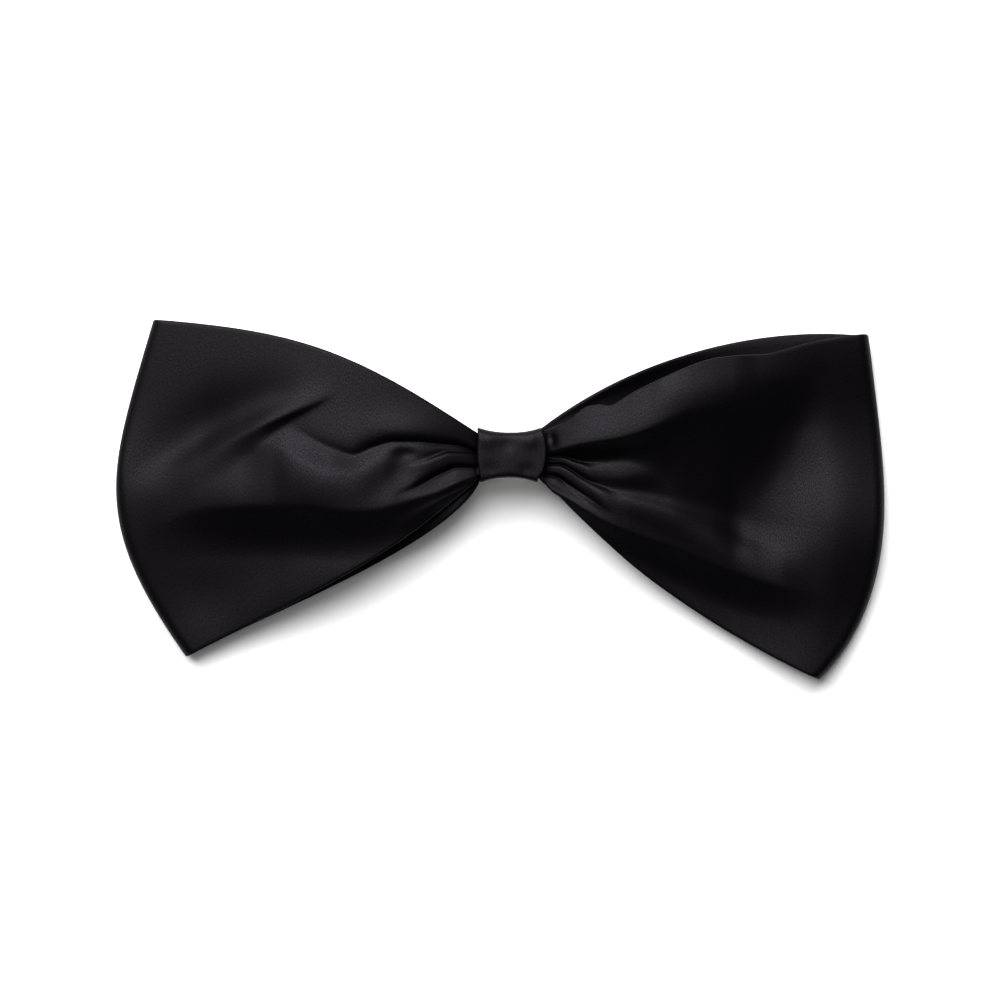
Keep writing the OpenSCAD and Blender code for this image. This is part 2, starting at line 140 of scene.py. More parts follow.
# Folds of the front layer. Each point is (x, y, height, width above, width below): the fold's
# line, how high it stands, and how far it fades towards +Y and towards -Y. A ridge is a rounded
# swell or hollow, a roll has a flatter top and steeper sides, a crease is a sharp line, and a
# step is high on its +Y side and goes on falling on its -Y side. A dent's points are separate
# swells or hollows (x, y, height, x radius, y radius). An upright is a ridge that runs along Y:
# its points are (y, x, height, width to the right, width to the left).
RIDGE, ROLL, CREASE = "ridge", "roll", "crease"
STEP, DENT, UPRIGHT = "step", "dent", "upright"
STEP_TAIL = 0.9      # how far a step goes on falling below its lip, as a share of its height
STEP_BLUNT = 0.06    # how blunt a step's lip is, as a share of the width below it
CREASE_BLUNT = 0.12  # the same for the bottom of a crease
CREASE_FADE = 0.62   # how fast a crease fades, against its widths
FOLDS = {
    LEFT: [
        # crease under the upper panel, and the bright slope that rises from it
        (CREASE, [(-5, 11.0, -1.1, 0.9, 0.9), (-10, 12.9, -1.3, 1.2, 1.6),
                  (-15, 13.4, -1.4, 1.4, 2.2), (-20, 13.8, -1.4, 1.6, 2.4),
                  (-25, 13.8, -1.4, 1.7, 2.6), (-30, 12.5, -1.3, 1.9, 3.0),
                  (-35, 10.6, -1.0, 2.2, 3.8), (-40, 12.2, -0.7, 2.2, 3.4),
                  (-46, 15.2, -0.4, 2.4, 2.6), (-51, 18.0, 0.0, 2.2, 3.0)]),
        # crest of the tongue that runs from the knot to mid-wing
        (RIDGE, [(-22, 12.0, 0.0, 2.6, 2.0), (-28, 8.6, 0.6, 2.8, 4.0), (-35, 5.6, 1.1, 3.2, 6.0),
                 (-41, 6.0, 1.4, 3.4, 7.0), (-48, 8.9, 1.4, 3.4, 8.0), (-54, 11.8, 0.9, 3.4, 8.0),
                 (-62, 12.0, 0.0, 3.0, 8.0)]),
        (DENT, [(-22.5, 10.9, -0.7, 2.8, 1.5)]),
        # narrow roll from the knot, with a crease above it and a gap below it
        (ROLL, [(-5, 9.4, 0.4, 1.5, 1.5), (-9, 9.75, 0.5, 1.6, 1.6), (-11.5, 9.7, 0.6, 1.8, 1.7),
                (-14, 8.8, 0.7, 2.0, 1.9), (-16.5, 7.7, 0.7, 2.2, 2.1), (-19, 6.4, 0.5, 2.6, 2.4),
                (-24, 4.4, 0.0, 3.2, 3.0)]),
        (CREASE, [(-5, 11.1, -0.3, 0.4, 0.25), (-9, 11.5, -0.4, 0.5, 0.3),
                  (-12, 11.6, -0.5, 0.8, 0.4), (-16, 10.3, -0.5, 1.2, 0.6),
                  (-19, 9.2, -0.3, 1.4, 0.8), (-23, 8.2, 0.0, 1.5, 1.0)]),
        (CREASE, [(-5, 7.7, -0.5, 0.5, 0.7), (-10, 7.7, -0.8, 0.8, 1.5),
                  (-13, 6.7, -1.0, 1.0, 2.0), (-17, 4.8, -1.0, 1.2, 2.6),
                  (-21, 2.6, -0.6, 1.4, 2.8), (-26, 0.5, 0.0, 1.6, 2.8)]),
        # sharp lower edge of the tongue, over the deep valley
        (STEP, [(-5, 5.7, 0.5, 1.0, 1.8), (-10, 3.8, 0.9, 1.6, 3.4), (-15, 1.6, 1.3, 2.5, 5.4),
                (-20, 0.2, 1.7, 4.0, 7.5), (-25, -1.4, 2.1, 6.0, 9.5),
                (-30, -2.5, 2.4, 9.0, 11.0), (-36, -2.8, 2.6, 13.0, 12.0),
                (-48, -1.5, 2.7, 14.0, 12.5), (-63, -1.7, 2.5, 12.0, 12.5),
                (-72, -2.4, 1.8, 13.0, 12.0), (-80, -5.4, 0.9, 9.0, 10.0),
                (-88, -9.0, 0.0, 8.0, 9.0)]),
        # upper rim of the lower panel, beside the knot
        (RIDGE, [(-5, 4.6, 0.3, 0.5, 0.7), (-10, 1.7, 0.7, 0.8, 1.3), (-15, -1.0, 0.9, 1.2, 2.0),
                 (-20, -3.8, 0.7, 1.7, 2.6), (-28, -8.0, 0.0, 2.2, 3.0)]),
        # the lower panel lifts towards its bottom edge
        (RIDGE, [(-12, -1.5, 0.0, 4.0, 5.0), (-22, -10.5, 0.9, 7.0, 6.0),
                 (-40, -20.5, 1.8, 9.0, 7.0), (-58, -29.5, 1.6, 9.0, 7.0),
                 (-72, -36.0, 0.8, 8.0, 7.0)]),
        # long shallow hollow across the outer panel, then the crest below it and that crest's
        # sharp lower edge
        (RIDGE, [(-92, 6.0, -2.6, 8.0, 5.0), (-84, 10.0, -3.4, 8.0, 5.0),
                 (-72, 15.6, -3.6, 8.0, 5.0), (-62, 20.0, -2.0, 7.0, 4.5),
                 (-54, 23.5, -0.8, 6.0, 3.5), (-46, 27.0, 0.0, 5.0, 3.0)]),
        (RIDGE, [(-76, 10.0, 0.0, 4.0, 5.0), (-66, 14.0, 0.5, 4.0, 4.5),
                 (-58, 17.4, 0.7, 4.0, 3.5), (-52, 20.3, 0.6, 3.4, 2.4),
                 (-46, 22.8, 0.4, 3.0, 1.8), (-38, 26.2, 0.0, 2.4, 1.2)]),
        (STEP, [(-38, 25.6, 0.0, 3.0, 0.8), (-44, 22.6, 0.2, 3.0, 1.0),
                (-50, 20.2, 0.55, 3.2, 2.0), (-55, 18.2, 0.9, 4.0, 4.0),
                (-60, 15.9, 1.0, 5.0, 6.0), (-66, 13.0, 0.9, 6.0, 7.0), (-74, 9.0, 0.4, 6.0, 7.0),
                (-82, 5.0, 0.0, 6.0, 6.0)]),
        # soft hollow of the lower corner, and the swell over the upper crease
        (DENT, [(-74, -23.0, -0.6, 9.0, 6.0), (-22, 15.5, 1.1, 11.0, 5.0)]),
    ],
    RIGHT: [
        # lower edge of the upper roll, over the broad hollow
        (STEP, [(10, 10.6, 0.9, 2.0, 1.6), (15, 12.0, 1.6, 4.0, 2.6), (20, 13.2, 2.1, 6.0, 4.0),
                (25, 13.9, 2.5, 8.0, 5.0), (30, 14.9, 2.8, 10.0, 6.0), (35, 16.6, 3.1, 13.0, 9.0),
                (40, 18.8, 3.5, 18.0, 14.0), (46, 21.2, 3.7, 16.0, 21.0),
                (55, 22.8, 3.6, 12.5, 28.0), (61, 25.0, 2.6, 9.0, 26.0),
                (67, 27.6, 1.7, 8.0, 20.0), (73, 30.7, 0.8, 6.0, 14.0),
                (80, 33.0, 0.0, 4.0, 11.0)]),
        # turn of the hollow into the outer panel
        (UPRIGHT, [(-26, 71.0, 0.0, 9.0, 10.0), (-14, 70.0, -1.5, 9.0, 12.0),
                   (-5, 69.5, -3.4, 9.0, 13.0), (5, 69.5, -4.2, 10.0, 14.0),
                   (16, 69.0, -2.8, 11.0, 15.0), (30, 68.0, 0.0, 11.0, 15.0)]),
        (RIDGE, [(40, -3.0, 0.0, 10.0, 3.5), (50, -4.5, -1.0, 12.0, 4.0),
                 (58, -7.5, -2.0, 13.0, 4.6), (65, -10.0, -1.5, 13.0, 5.0),
                 (74, -12.0, 0.0, 12.0, 5.0)]),
        # round of the upper roll
        (RIDGE, [(22, 17.0, 0.0, 6.0, 6.0), (34, 22.5, 0.45, 6.0, 6.0),
                 (43, 26.0, 0.85, 6.0, 6.0), (50, 26.5, 0.9, 6.0, 6.0), (58, 27.5, 0.6, 6.0, 6.0),
                 (70, 30.0, 0.0, 6.0, 6.0)]),
        # thin roll from the knot, the swell it runs out into, and the crease above it
        (ROLL, [(10, 9.3, 0.25, 0.85, 0.85), (13.5, 9.4, 0.3, 0.85, 0.85),
                (15.6, 9.05, 0.4, 1.0, 1.0), (18, 7.9, 0.5, 1.3, 1.3), (20.4, 6.6, 0.5, 1.6, 1.6),
                (24, 5.2, 0.0, 2.2, 2.0)]),
        (RIDGE, [(18, 6.8, 0.0, 2.0, 1.5), (22, 5.8, 0.4, 3.2, 1.8), (27, 5.6, 0.6, 4.0, 2.4),
                 (33, 6.2, 0.5, 4.0, 2.8), (41, 7.0, 0.0, 4.0, 3.0)]),
        (CREASE, [(10, 10.3, -0.5, 0.5, 0.25), (15, 10.3, -0.7, 0.8, 0.3),
                  (19, 9.1, -0.6, 1.4, 0.4), (24, 8.8, -0.3, 2.5, 0.8),
                  (30, 9.4, 0.0, 3.0, 1.0)]),
        # gap between the thin roll and the third roll
        (CREASE, [(10, 8.4, -0.45, 0.25, 0.25), (14, 8.4, -0.5, 0.3, 0.25),
                  (17, 7.1, -0.7, 0.4, 0.3), (20, 5.1, -0.9, 0.7, 0.5), (25, 3.0, -1.2, 2.2, 2.0),
                  (30, 1.4, -1.5, 3.5, 10.0), (36, 0.4, -1.8, 6.0, 40.0),
                  (44, -1.6, -1.9, 9.0, 80.0), (54, -4.0, -1.8, 12.0, 80.0),
                  (61, -5.5, -1.0, 12.0, 80.0), (68, -7.0, 0.0, 12.0, 80.0)]),
        (ROLL, [(10, 7.2, 0.3, 1.15, 1.15), (13, 7.2, 0.4, 1.2, 1.2), (14.8, 6.4, 0.5, 1.4, 1.4),
                (17, 4.9, 0.6, 1.8, 1.8), (19, 3.5, 0.6, 2.0, 2.0), (22, 1.7, 0.5, 2.4, 2.4),
                (28, -1.0, 0.0, 3.0, 3.0)]),
        (RIDGE, [(18, 4.6, 0.0, 1.6, 1.6), (25, 1.9, 0.9, 1.8, 3.0), (32, -0.6, 1.3, 2.0, 3.8),
                 (40, -3.2, 1.4, 2.4, 4.8), (50, -7.2, 1.3, 3.0, 5.4), (58, -11.6, 0.9, 3.6, 5.4),
                 (66, -15.0, 0.5, 4.0, 5.0), (74, -17.5, 0.0, 4.0, 5.0)]),
        # small fold under the third roll, beside the knot
        (CREASE, [(10, 6.0, -0.7, 0.3, 0.8), (13, 5.7, -0.9, 0.4, 1.0), (16, 4.0, -0.9, 0.5, 1.2),
                  (19, 1.9, -0.7, 0.7, 1.4), (23, -0.8, -0.4, 1.0, 1.5),
                  (28, -4.2, 0.0, 1.2, 1.5)]),
        # crisp lower edge of the third roll
        (STEP, [(9, 5.0, 0.6, 0.8, 1.2), (12, 2.6, 0.8, 1.1, 2.2), (16, 0.2, 1.0, 1.6, 3.6),
                (20, -2.4, 1.3, 3.0, 4.8), (25, -5.3, 1.5, 7.0, 6.0), (34, -8.8, 1.7, 20.0, 7.4),
                (43, -12.2, 1.9, 25.0, 8.6), (55, -17.0, 1.8, 25.0, 9.4),
                (67, -20.6, 1.2, 25.0, 9.0), (78, -23.0, 0.0, 20.0, 9.0)]),
        # dimple beside the knot
        (DENT, [(12.5, 14.1, -0.6, 0.75, 1.4)]),
    ],
}


# ---------------------------------------------------------------- how the band is meshed
FINE_STEPS = 801       # points across a layer before they are evened out
FRONT_STEPS, BACK_STEPS, LOOP_STEPS, MIDDLE_STEPS, TAIL_STEPS = 160, 46, 9, 14, 5
FRONT_CROWDING = 1.15  # above 1, the front layers' rows crowd towards the knot
ACROSS, INNER_COLS = 128, 48
CURVE_REACH = 0.75     # a cubic's bulge, as a share of its handles' length
BUNDLE_PINCH = 0.42    # how much narrower the gathered middle is than the layers beside it
BUNDLE_FLAT = 0.6      # how much flatter
TAIL_PAST = 4.6        # how far the band's ends reach past the middle of the knot
TAIL_PINCH, TAIL_HASTE = 0.5, 1.6   # how much narrower they get, and how soon
SMOOTH_ALONG, SMOOTH_OVER = 3, 6    # smoothing of the grid that the plies' normals come from
# Rows of the lining, and the rows and columns by which it stays inside the satin
LINING_ROWS, LINING_END, LINING_IN = 220, 3, 3
LINING_DEPTH = (0.35, 0.65)         # its two faces, under the satin's outside
DIRECTION_STEP = 0.02               # step of s over which the outer fold's direction is taken


def cubic(points, u):
    """Points of a cubic Bezier curve at each u."""
    p = np.array(points, float)
    u = np.asarray(u, float)[..., None]
    return (p[0] * (1 - u) ** 3 + 3 * p[1] * (1 - u) ** 2 * u
            + 3 * p[2] * (1 - u) * u ** 2 + p[3] * u ** 3)


def ease(u):
    """0 to 1 with no corner at either end."""
    u = np.clip(u, 0, 1)
    return u * u * (3 - 2 * u)


def mix(a, b, u):
    """a at u = 0 and b at u = 1."""
    return a + (b - a) * u


def unit(v):
    """Vectors scaled to length 1."""
    return v / np.maximum(np.linalg.norm(v, axis=-1, keepdims=True), 1e-9)


def through(xs, ys, x, runs_on=False):
    """A smooth curve through given points that never overshoots them.

    Past its ends it stays level, or with runs_on goes straight on."""
    xs, ys = np.array(xs, float), np.array(ys, float)
    order = np.argsort(xs)
    xs, ys = xs[order], ys[order]
    gaps = np.diff(xs)
    slopes = np.diff(ys) / gaps
    tangents = np.zeros_like(ys)
    same = slopes[:-1] * slopes[1:] > 0
    w1, w2 = 2 * gaps[1:] + gaps[:-1], gaps[1:] + 2 * gaps[:-1]
    with np.errstate(divide="ignore", invalid="ignore"):
        harmonic = (w1 + w2) / (w1 / slopes[:-1] + w2 / slopes[1:])
    tangents[1:-1] = np.where(same, harmonic, 0)
    if runs_on:
        tangents[0], tangents[-1] = slopes[0], slopes[-1]
    past = np.minimum(x - xs[0], 0) * tangents[0] + np.maximum(x - xs[-1], 0) * tangents[-1]
    x = np.clip(x, xs[0], xs[-1])
    i = np.clip(np.searchsorted(xs, x) - 1, 0, len(gaps) - 1)
    u = (x - xs[i]) / gaps[i]
    return (past + ys[i] * (1 + 2 * u) * (1 - u) ** 2 + gaps[i] * tangents[i] * u * (1 - u) ** 2
            + ys[i + 1] * u * u * (3 - 2 * u) + gaps[i] * tangents[i + 1] * u * u * (u - 1))


def fold_height(kind, points, x, y):
    """Height that one fold adds at each (x, y)."""
    if kind == DENT:
        return sum(
            h * np.exp(-((x - cx) / rx) ** 2 - ((y - cy) / ry) ** 2) for cx, cy, h, rx, ry in points
        )
    if kind == UPRIGHT:
        return fold_height(RIDGE, points, y, x)
    xs, ys, heights, above, below = zip(*points)
    line = through(xs, ys, x, True)
    step = 0.5
    slope = (through(xs, ys, x + step, True) - through(xs, ys, x - step, True)) / (2 * step)
    d = (y - line) / np.sqrt(1 + slope ** 2)
    h = through(xs, heights, x)
    width = np.where(d > 0, through(xs, above, x), through(xs, below, x))
    if kind == RIDGE:
        return h * np.exp(-(d / width) ** 2)
    if kind == ROLL:
        return h * np.exp(-(d / width) ** 6)
    if kind == CREASE:
        soft = np.clip(CREASE_BLUNT * through(xs, below, x), 0.15, 2.0)
        return h * np.exp(-(np.sqrt(d * d + soft * soft) - soft) / (CREASE_FADE * width))
    blunt = np.hypot(d, np.clip(STEP_BLUNT * through(xs, below, x), 0.25, 1.1))
    high = np.exp(-((blunt + d) / 2 / through(xs, above, x)) ** 2)
    low = np.sin(math.pi / 2 * np.minimum((blunt - d) / 2 / through(xs, below, x), 1))
    return h * (high - (1 + STEP_TAIL) * low)


def plan(layer, side, t, s):
    """Plan position on a layer, for arrays t and s of one shape."""
    top, bottom, outer = TOP[layer, side], BOTTOM[layer, side], OUTER[side]
    a, b, c = cubic(top, t), cubic(bottom, t), cubic(outer, s)
    s1, t1 = s[..., None], t[..., None]
    root = mix(np.array(top[0]), np.array(bottom[0]), s1)
    corners = mix(root, mix(np.array(top[3]), np.array(bottom[3]), s1), t1)
    return mix(a, b, s1) + mix(root, c, t1) - corners


def outward(side, s):
    """Plan direction that points out of a wing across its outer fold."""
    after, before = np.minimum(s + DIRECTION_STEP, 1), np.maximum(s - DIRECTION_STEP, 0)
    d = cubic(OUTER[side], after) - cubic(OUTER[side], before)
    return unit(side * np.stack([-d[..., 1], d[..., 0]], -1))


def front_z(side, t, s, x, y):
    """Height of the front layer: a low dome, the folds, and a soft end at the outer fold."""
    dome = mix(FRONT_ROOT_Z, FRONT_FOLD_Z[side], t) + through(*zip(*SWELL[side]), y) * t ** 3
    across = mix(1, LOW_EDGE[side], ease((s - LOW_FROM) / LOW_OVER)) - EDGE_FALL * (2 * s - 1) ** 2
    dome = dome + RISE[side] * np.sin(math.pi * t ** RISE_SKEW) * across
    folds = sum(fold_height(kind, points, x, y) for kind, points in FOLDS[side])
    z = dome + folds * (1 - t ** FOLD_FADE)
    return LOWEST + np.logaddexp(0, z - LOWEST)


def back_z(side, t, s):
    """Height of the rear layer: down from the knot to the table, with soft gathers."""
    z = mix(BACK_ROOT_Z[side], BACK_LOW_Z, ease((t - FALL_FROM) / FALL_OVER))
    gathers = np.cos(2 * math.pi * 3 * s + 0.8 * side) + 0.5 * np.cos(2 * math.pi * 5 * s + 1.9)
    shown = s if side == LEFT else 1 - s
    lift = ease((shown - LIFT_FROM) / LIFT_OVER) * np.sin(math.pi * t ** LIFT_SKEW)
    return z + BACK_LIFT[side] * lift + GATHER_H * t * (1 - ease(t / GATHER_END)) * gathers


def even_rows(points, count):
    """Each row of points (rows, fine, 3) resampled to count points, evenly spaced on the cloth."""
    out = np.empty((points.shape[0], count, 3))
    for i, row in enumerate(points):
        run = np.concatenate([[0], np.cumsum(np.linalg.norm(np.diff(row, axis=0), axis=1))])
        at = np.linspace(0, run[-1], count)
        out[i] = np.stack([np.interp(at, run, row[:, k]) for k in range(3)], -1)
    return out


def layer_grid(layer, side, ts, count):
    """A layer's outer ply as a grid (len(ts), count, 3), from the knot outwards."""
    t, s = np.meshgrid(ts, np.linspace(0, 1, FINE_STEPS), indexing="ij")
    p = plan(layer, side, t, s)
    p = p - outward(side, s) * (LOOP_REACH * t ** 3)[..., None]
    p = p + unit(np.gradient(p, axis=1)) * EDGE_R * (1 - 2 * s)[..., None]
    if layer == "front":
        p[..., 1] += through(*zip(*WAVES[side]), p[..., 0]) * (1 - ease(s / 0.3))
        z = front_z(side, t, s, p[..., 0], p[..., 1])
    else:
        z = back_z(side, t, s)
    return even_rows(np.concatenate([p, z[..., None]], -1), count)


def loop_grid(front_end, front_before, back_end, back_before):
    """The outer fold, which carries the front layer's end smoothly round into the rear layer's."""
    reach = LOOP_REACH / CURVE_REACH
    p0, p3 = front_end, back_end
    p1 = p0 + unit(front_end - front_before) * reach
    p2 = p3 + unit(back_end - back_before) * reach
    return np.array([
        p0 * (1 - u) ** 3 + 3 * p1 * (1 - u) ** 2 * u + 3 * p2 * (1 - u) * u ** 2 + p3 * u ** 3
        for u in np.linspace(0, 1, LOOP_STEPS + 2)[1:-1]
    ])


def bundle_rows(xs, z, first, last):
    """Rows of the gathered band inside the knot, between two rows given in full."""
    rows = []
    for k, x in enumerate(xs):
        u = (k + 1) / (len(xs) + 1)
        row = mix(first, last, u)
        pinch = 1 - BUNDLE_PINCH * math.sin(math.pi * u) ** 0.5
        row[:, 0] = x
        row[:, 1] = KNOT[1] + (row[:, 1] - KNOT[1]) * pinch
        row[:, 2] = z + (row[:, 2] - z) * (1 - BUNDLE_FLAT * math.sin(math.pi * u))
        rows.append(row)
    return np.array(rows)


def tail_rows(root, side):
    """The band's end, tucked past the middle inside the knot."""
    rows = []
    z = BACK_ROOT_Z[side]
    for k in range(1, TAIL_STEPS + 1):
        u = k / TAIL_STEPS
        row = root.copy()
        row[:, 0] = mix(root[:, 0], KNOT[0] - side * TAIL_PAST, u)
        row[:, 1] = KNOT[1] + (row[:, 1] - KNOT[1]) * (1 - TAIL_PINCH * ease(u * TAIL_HASTE))
        row[:, 2] = mix(row[:, 2], z, ease(u * TAIL_HASTE))
        rows.append(row)
    return np.array(rows)


def band_rows():
    """The whole band's outer ply, from its left end round both wings to its right end."""
    front_t = np.linspace(0, 1, FRONT_STEPS) ** FRONT_CROWDING
    back_t = np.linspace(0, 1, BACK_STEPS)
    front = {side: layer_grid("front", side, front_t, ACROSS) for side in (LEFT, RIGHT)}
    back = {side: layer_grid("back", side, back_t, ACROSS) for side in (LEFT, RIGHT)}
    loop = {
        side: loop_grid(front[side][-1], front[side][-2], back[side][-1], back[side][-2])
        for side in (LEFT, RIGHT)
    }
    ends = front[LEFT][0][:, 0].mean(), front[RIGHT][0][:, 0].mean()
    xs = np.linspace(*ends, MIDDLE_STEPS)[1:-1]
    middle = bundle_rows(xs, FRONT_ROOT_Z, front[LEFT][0], front[RIGHT][0])
    return np.concatenate([
        tail_rows(back[LEFT][0], LEFT)[::-1],
        back[LEFT],
        loop[LEFT][::-1],
        front[LEFT][::-1],
        middle,
        front[RIGHT],
        loop[RIGHT],
        back[RIGHT][::-1],
        tail_rows(back[RIGHT][0], RIGHT),
    ])


def blurred(grid, along, over):
    """A grid smoothed by repeated three-point averages."""
    g = grid.copy()
    for _ in range(along):
        g[1:-1] = 0.25 * g[:-2] + 0.5 * g[1:-1] + 0.25 * g[2:]
    for _ in range(over):
        g[:, 1:-1] = 0.25 * g[:, :-2] + 0.5 * g[:, 1:-1] + 0.25 * g[:, 2:]
    return g


def outer_normals(grid):
    """Unit normals of a grid of points."""
    a = np.gradient(grid, axis=0)
    b = np.gradient(grid, axis=1)
    return unit(np.cross(b, a))


def mesh_object(name, points_mm, faces, uv=None):
    """A smooth-shaded object, from points in millimetres."""
    me = bpy.data.meshes.new(name)
    me.from_pydata((np.asarray(points_mm) * MM).tolist(), [], faces)
    me.validate()
    me.polygons.foreach_set("use_smooth", [True] * len(me.polygons))
    if uv is not None:
        layer = me.uv_layers.new(name="cloth")
        index = np.empty(len(me.loops), dtype=np.int32)
        me.loops.foreach_get("vertex_index", index)
        layer.data.foreach_set("uv", np.asarray(uv)[index].ravel())
    me.update()
    ob = bpy.data.objects.new(name, me)
    bpy.context.scene.collection.objects.link(ob)
    return ob


def tube_faces(rings, sides):
    """Quads of a closed tube of rings, with a flat end at each side."""
    faces = [
        (a + j, a + (j + 1) % sides, a + sides + (j + 1) % sides, a + sides + j)
        for a in range(0, (rings - 1) * sides, sides) for j in range(sides)
    ]
    faces.append(tuple(range(sides))[::-1])
    faces.append(tuple((rings - 1) * sides + j for j in range(sides)))
    return faces


def slab(outer, down, inner_cols, top, bottom, steps=(0.2, 0.4, 0.6, 0.8)):
    """Rings round a sheet: its outer side, a rounded edge, its inner side, the other edge."""
    m = outer.shape[1]
    top, bottom = (np.broadcast_to(v, len(outer))[:, None] for v in (top, bottom))
    radius = (bottom - top) / 2

    def edge(col, towards, order):
        mid = outer[:, col] - down[:, col] * (top + radius)
        out = unit(outer[:, col] - outer[:, towards])
        return np.stack([
            mid + radius * (down[:, col] * math.cos(math.pi * u) + out * math.sin(math.pi * u))
            for u in order
        ], 1)

    return np.concatenate([
        outer - down * top[:, None],
        edge(m - 1, m - 2, steps),
        (outer[:, inner_cols] - down[:, inner_cols] * bottom[:, None])[:, ::-1],
        edge(0, 1, steps[::-1]),
    ], 1)


def ring_uv(ring):
    """Cloth coordinates in metres: along the band, and across it from edge to edge and back."""
    along = np.concatenate([[0], np.cumsum(np.linalg.norm(np.diff(ring, axis=0), axis=2).mean(1))])
    steps = np.linalg.norm(np.diff(ring, axis=1), axis=2)
    over = np.concatenate([np.zeros((len(ring), 1)), np.cumsum(steps, 1)], 1)
    return np.stack([np.broadcast_to(along[:, None], over.shape), over], -1).reshape(-1, 2) * MM


def sheet_mesh(name, ring):
    """A sheet's object, from the rings round it."""
    return mesh_object(name, ring.reshape(-1, 3), tube_faces(*ring.shape[:2]), ring_uv(ring))


def spaced(first, last, count):
    """Evenly spaced whole numbers."""
    return np.unique(np.round(np.linspace(first, last, count)).astype(int))


def band_mesh(rows, down):
    """The satin tube, with a finer outer ply than inner ply."""
    return sheet_mesh("satin_band", slab(rows, down, spaced(0, ACROSS - 1, INNER_COLS), 0, CLOTH_T))


def lining_mesh(rows, down):
    """The interlining between the plies, set in from the tube's edges and ends."""
    picked = spaced(LINING_END, len(rows) - 1 - LINING_END, LINING_ROWS)
    cols = spaced(LINING_IN, ACROSS - 1 - LINING_IN, INNER_COLS)
    outer, n = rows[np.ix_(picked, cols)], down[np.ix_(picked, cols)]
    return sheet_mesh("band_lining", slab(outer, n, np.arange(len(cols)), *LINING_DEPTH, (0.5,)))


# ---------------------------------------------------------------- centre band
KNOT_PLY = 0.65   # the centre band's thickness
# Its side edges as (y, x), seen from the front
KNOT_SIDES = (
    [(4.6, -4.35), (10.8, -5.1), (17.1, -4.95)],
    [(4.5, 8.5), (7.2, 10.05), (9.6, 10.55), (12.0, 10.7), (14.4, 10.4), (17.0, 9.6)],
)
# Its shallow dents and swells, as a fold's dents
KNOT_DENTS = [
    (1.9, 13.3, -0.28, 1.6, 1.7), (6.2, 6.9, -0.34, 1.8, 1.8), (-2.2, 7.2, -0.24, 2.0, 1.8),
    (-2.6, 14.4, 0.32, 2.0, 1.9), (7.3, 14.2, 0.36, 1.7, 1.9), (1.9, 9.6, 0.05, 1.8, 2.6),
]
KNOT_WAIST, KNOT_EDGE = 10.7, 12.9   # height at mid-width and at the sides
KNOT_FLARE = 2.2                     # power by which it grows from one to the other
# Squareness of its section, from 0 for a box to 1 for an ellipse
FRONT_LOW, FRONT_HIGH, BEHIND = 0.20, 0.34, 0.62
LAP_FROM, LAP_TO, LAP_FADE = 238, 270, 14   # angles at the back where the band's ends overlap
LAP_GAP = 0.01
LAP_PLY = KNOT_PLY / 2 - LAP_GAP     # each end thins to this, so that the lap isn't thicker
# The lining's thickness, its gap under the band, and how far in from the band's sides it stays
KNOT_LINING, KNOT_LINING_GAP, KNOT_LINING_IN = 0.3, 0.05, 0.6
KNOT_LINING_SHORT = 4                # degrees by which the lining stops before the lap
KNOT_FINE, KNOT_AROUND, KNOT_ACROSS = 4000, 220, 40


def knot_section(a, half_h, half_d):
    """Offsets in Y and Z of the centre band's outside at angle a: boxy in front, rounder behind."""
    c, d = np.cos(np.radians(a)), np.sin(np.radians(a))
    power = np.where(d > 0, np.where(c < 0, FRONT_LOW, FRONT_HIGH), BEHIND)
    return half_h * np.sign(c) * np.abs(c) ** power, half_d * np.sign(d) * np.abs(d) ** power


def knot_grid(first, last, under, inset):
    """A turn of cloth round the bundle, between two angles.

    It lies so far under the centre band's outside, and so far in from its sides."""
    half_d = KNOT_D / 2 - under
    fine = np.linspace(first, last, KNOT_FINE)
    y, z = knot_section(fine, KNOT_WAIST / 2 - under, half_d)
    run = np.concatenate([[0], np.cumsum(np.hypot(np.diff(y), np.diff(z)))])
    angles = np.interp(np.linspace(0, run[-1], KNOT_AROUND), run, fine)
    a, u = np.meshgrid(angles, np.linspace(0, 1, KNOT_ACROSS), indexing="ij")
    flare = np.abs(2 * u - 1) ** KNOT_FLARE
    y, z = knot_section(a, mix(KNOT_WAIST, KNOT_EDGE, flare) / 2 - under, half_d)
    y, z = KNOT[1] + y, KNOT[2] + z
    left, right = (through(*zip(*side), y) for side in KNOT_SIDES)
    x = mix(left + inset, right - inset, u)
    z = z + fold_height(DENT, KNOT_DENTS, x, y) * ease(np.sin(np.radians(a)) * 1.5)
    grid = np.stack([x, y, z], -1)
    down = outer_normals(grid)
    if (down[:, :, 1] * (y - KNOT[1])).sum() < 0:
        down = -down
    return grid, down, angles


def knot_mesh():
    """The centre band: one turn round the bundle, its ends lapped at the back."""
    grid, down, angles = knot_grid(LAP_FROM, LAP_TO + 360, 0, 0)
    under = 1 - ease((angles - LAP_TO) / LAP_FADE)
    over = ease((angles - (LAP_FROM + 360 - LAP_FADE)) / LAP_FADE)
    top = under * (KNOT_PLY / 2 + LAP_GAP)
    bottom = KNOT_PLY - over * (KNOT_PLY - LAP_PLY)
    return sheet_mesh("knot_wrap", slab(grid, down, np.arange(KNOT_ACROSS), top, bottom))


def knot_lining_mesh():
    """The centre band's lining, which stops short of the lapped ends."""
    first, last = LAP_TO + KNOT_LINING_SHORT, LAP_FROM + 360 - KNOT_LINING_SHORT
    grid, down, _ = knot_grid(first, last, KNOT_PLY + KNOT_LINING_GAP, KNOT_LINING_IN)
    return sheet_mesh("knot_lining", slab(grid, down, np.arange(KNOT_ACROSS), 0, KNOT_LINING))


